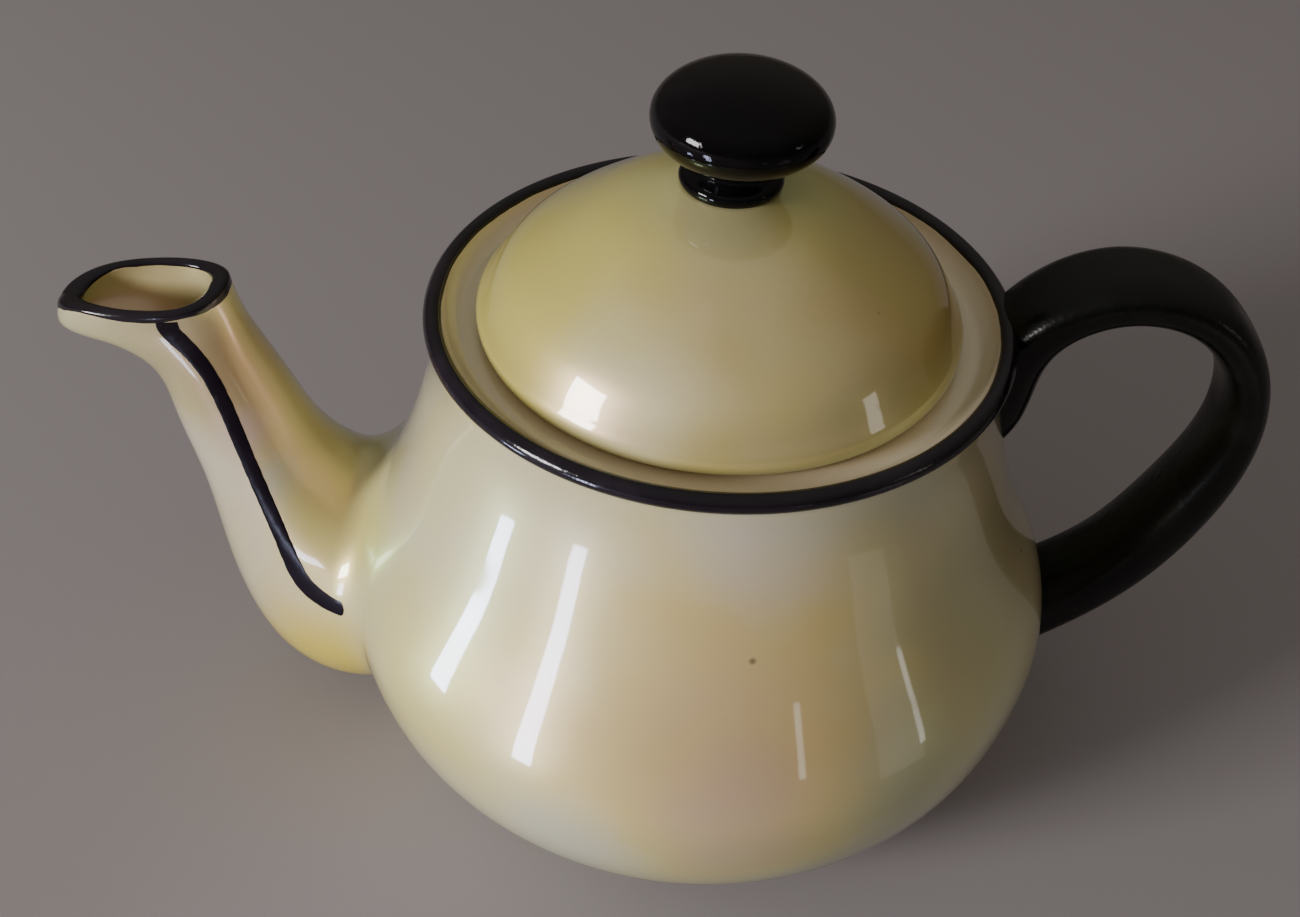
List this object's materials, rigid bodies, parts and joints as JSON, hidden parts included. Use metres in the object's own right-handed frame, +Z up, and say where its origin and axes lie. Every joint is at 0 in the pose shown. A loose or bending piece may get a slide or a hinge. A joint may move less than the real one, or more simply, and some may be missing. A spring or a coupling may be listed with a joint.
{
  "type": "teapot",
  "caption": "Small round-bellied glazed teapot with an S-shaped spout, an ear-shaped strap handle, a rolled rim with a sunk seat and a lift-off domed lid with a round knob.",
  "frame": {"origin": "centre of the foot ring's resting plane, on the axis of the pot", "axes": "+Z up along the axis of the pot, +X from the axis towards the handle, -X towards the spout, XZ is the plane of symmetry"},
  "size_m": [0.2195, 0.1396, 0.1427],
  "materials": {
    "pearl_glaze": "cream glaze under a thin pearl lustre, glossy",
    "lid_glaze": "pale yellow glaze under a thin pearl lustre, glossy",
    "black_glaze": "black enamel, glossy, a little worn on the handle"
  },
  "bodies": {
    "pot": {"pot_body": "pearl_glaze", "spout": "pearl_glaze", "handle": "black_glaze"},
    "lid": {"lid": "lid_glaze", "knob": "black_glaze"}
  },
  "joints": [
    {"name": "lid_lift", "type": "slide", "parent": "pot", "child": "lid", "axis": [0, 0, 1], "range_m": [0, 0.04]}
  ]
}
